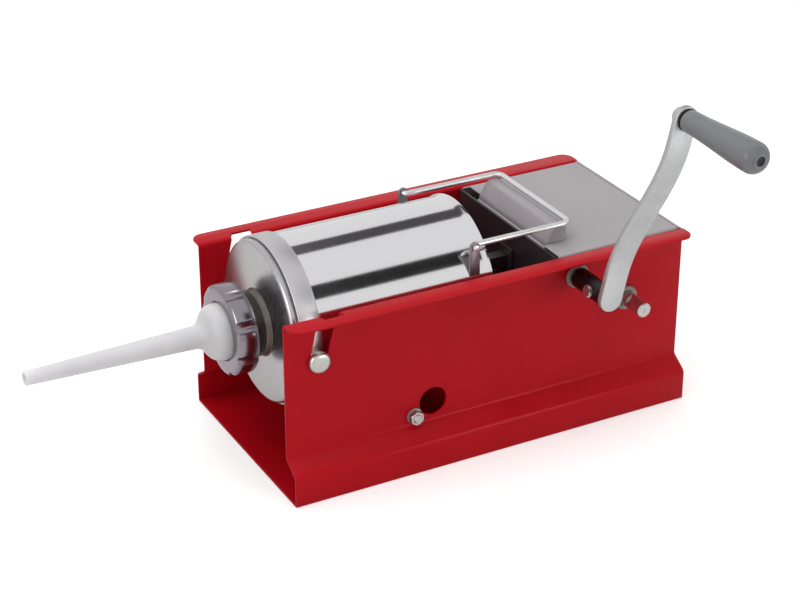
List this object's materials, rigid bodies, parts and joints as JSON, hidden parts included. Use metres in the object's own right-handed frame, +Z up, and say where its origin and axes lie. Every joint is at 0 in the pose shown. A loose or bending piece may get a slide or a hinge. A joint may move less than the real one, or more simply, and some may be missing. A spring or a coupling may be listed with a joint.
{
  "type": "sausage stuffer",
  "caption": "Horizontal hand-cranked sausage stuffer: geared rack and plunger in a steel cylinder, long nozzle, folded sheet frame.",
  "frame": {"origin": "centre of the frame's underside, on the surface it stands on", "axes": "+X towards the rear, where the rack comes out; -X along the nozzle; -Y towards the crank; +Z up"},
  "size_m": [0.6042, 0.3918, 0.3379],
  "materials": {
    "red_paint": "gloss red powder coat",
    "grey_paint": "satin grey powder coat",
    "black_paint": "satin black coat",
    "polished_steel": "polished stainless steel",
    "satin_steel": "satin steel",
    "zinc_steel": "bright zinc plated steel",
    "dark_steel": "oiled dark steel",
    "cast_aluminium": "tumbled cast aluminium",
    "white_plastic": "translucent white plastic",
    "grey_plastic": "grey moulded plastic",
    "black_plastic": "black moulded plastic",
    "nylon": "natural nylon",
    "rubber": "black rubber"
  },
  "bodies": {
    "frame": {"base_plate": "red_paint", "near_side_panel": "red_paint", "far_side_panel": "red_paint", "rear_panel": "red_paint", "gear_bulkhead": "black_paint", "front_rack_guide": "nylon", "rear_rack_guide": "nylon", "top_cover": "grey_paint", "cover_rear_angle": "grey_paint", "cylinder_tube": "polished_steel", "cylinder_collar": "satin_steel", "front_cap": "satin_steel", "cap_gasket": "rubber", "near_trunnion": "zinc_steel", "far_trunnion": "zinc_steel", "near_bail_ear": "zinc_steel", "far_bail_ear": "zinc_steel", "cradle_rod": "zinc_steel", "near_cradle_washer": "zinc_steel", "far_cradle_washer": "zinc_steel", "near_cradle_nut": "zinc_steel", "far_cradle_nut": "zinc_steel", "near_slow_bush": "nylon", "near_fast_bush": "nylon", "far_slow_bush": "nylon", "far_fast_bush": "nylon", "bail_bracket": "satin_steel"},
    "crank": {"slow_shaft": "zinc_steel", "slow_pinion": "satin_steel", "slow_retaining_ring": "dark_steel", "stop_collar": "zinc_steel", "crank_hub": "dark_steel", "crank_set_screw": "zinc_steel", "crank_arm": "zinc_steel", "grip_axle": "zinc_steel", "grip_nut": "zinc_steel", "grip_washer": "zinc_steel"},
    "grip": {"crank_grip": "grey_plastic"},
    "fast_drive": {"fast_shaft": "zinc_steel", "fast_gear": "dark_steel", "rack_pinion": "satin_steel", "near_spacer_tube": "zinc_steel", "far_spacer_tube": "zinc_steel", "fast_retaining_ring": "dark_steel"},
    "plunger": {"plunger": "black_plastic", "plunger_seal": "rubber", "plunger_screw": "zinc_steel", "rack": "satin_steel"},
    "bail": {"bail_rod": "zinc_steel"},
    "nozzle": {"nozzle": "white_plastic"},
    "ring_nut": {"ring_nut": "cast_aluminium"}
  },
  "joints": [
    {"name": "crank_turn", "type": "hinge", "parent": "frame", "child": "crank", "pos_m": [0.0877, 0, 0.14867], "axis": [0, 1, 0], "range_deg": [-3240, 0]},
    {"name": "grip_spin", "type": "hinge", "parent": "crank", "child": "grip", "pos_m": [0.12819, -0.23, 0.32406], "axis": [0, 1, 0], "continuous": true},
    {"name": "fast_shaft_turn", "type": "hinge", "parent": "frame", "child": "fast_drive", "pos_m": [0.1415, 0, 0.114], "axis": [0, 1, 0], "range_deg": [0, 910]},
    {"name": "plunger_slide", "type": "slide", "parent": "frame", "child": "plunger", "axis": [1, 0, 0], "range_m": [0, 0.1902]},
    {"name": "bail_swing", "type": "hinge", "parent": "frame", "child": "bail", "pos_m": [-0.005, 0, 0.188], "axis": [0, -1, 0], "range_deg": [0, 160]},
    {"name": "nozzle_slide", "type": "slide", "parent": "frame", "child": "nozzle", "axis": [-1, 0, 0], "range_m": [0, 0.0121]},
    {"name": "nut_turn", "type": "hinge", "parent": "nozzle", "child": "ring_nut", "pos_m": [-0.211, 0, 0.128], "axis": [-1, 0, 0], "range_deg": [0, 2160]}
  ],
  "couplings": [
    {"joint": "fast_shaft_turn", "follows": "crank_turn", "ratio": -0.28},
    {"joint": "plunger_slide", "follows": "crank_turn", "m_per_rad": -0.00336},
    {"joint": "nozzle_slide", "follows": "nut_turn", "m_per_rad": 0.00031831}
  ]
}
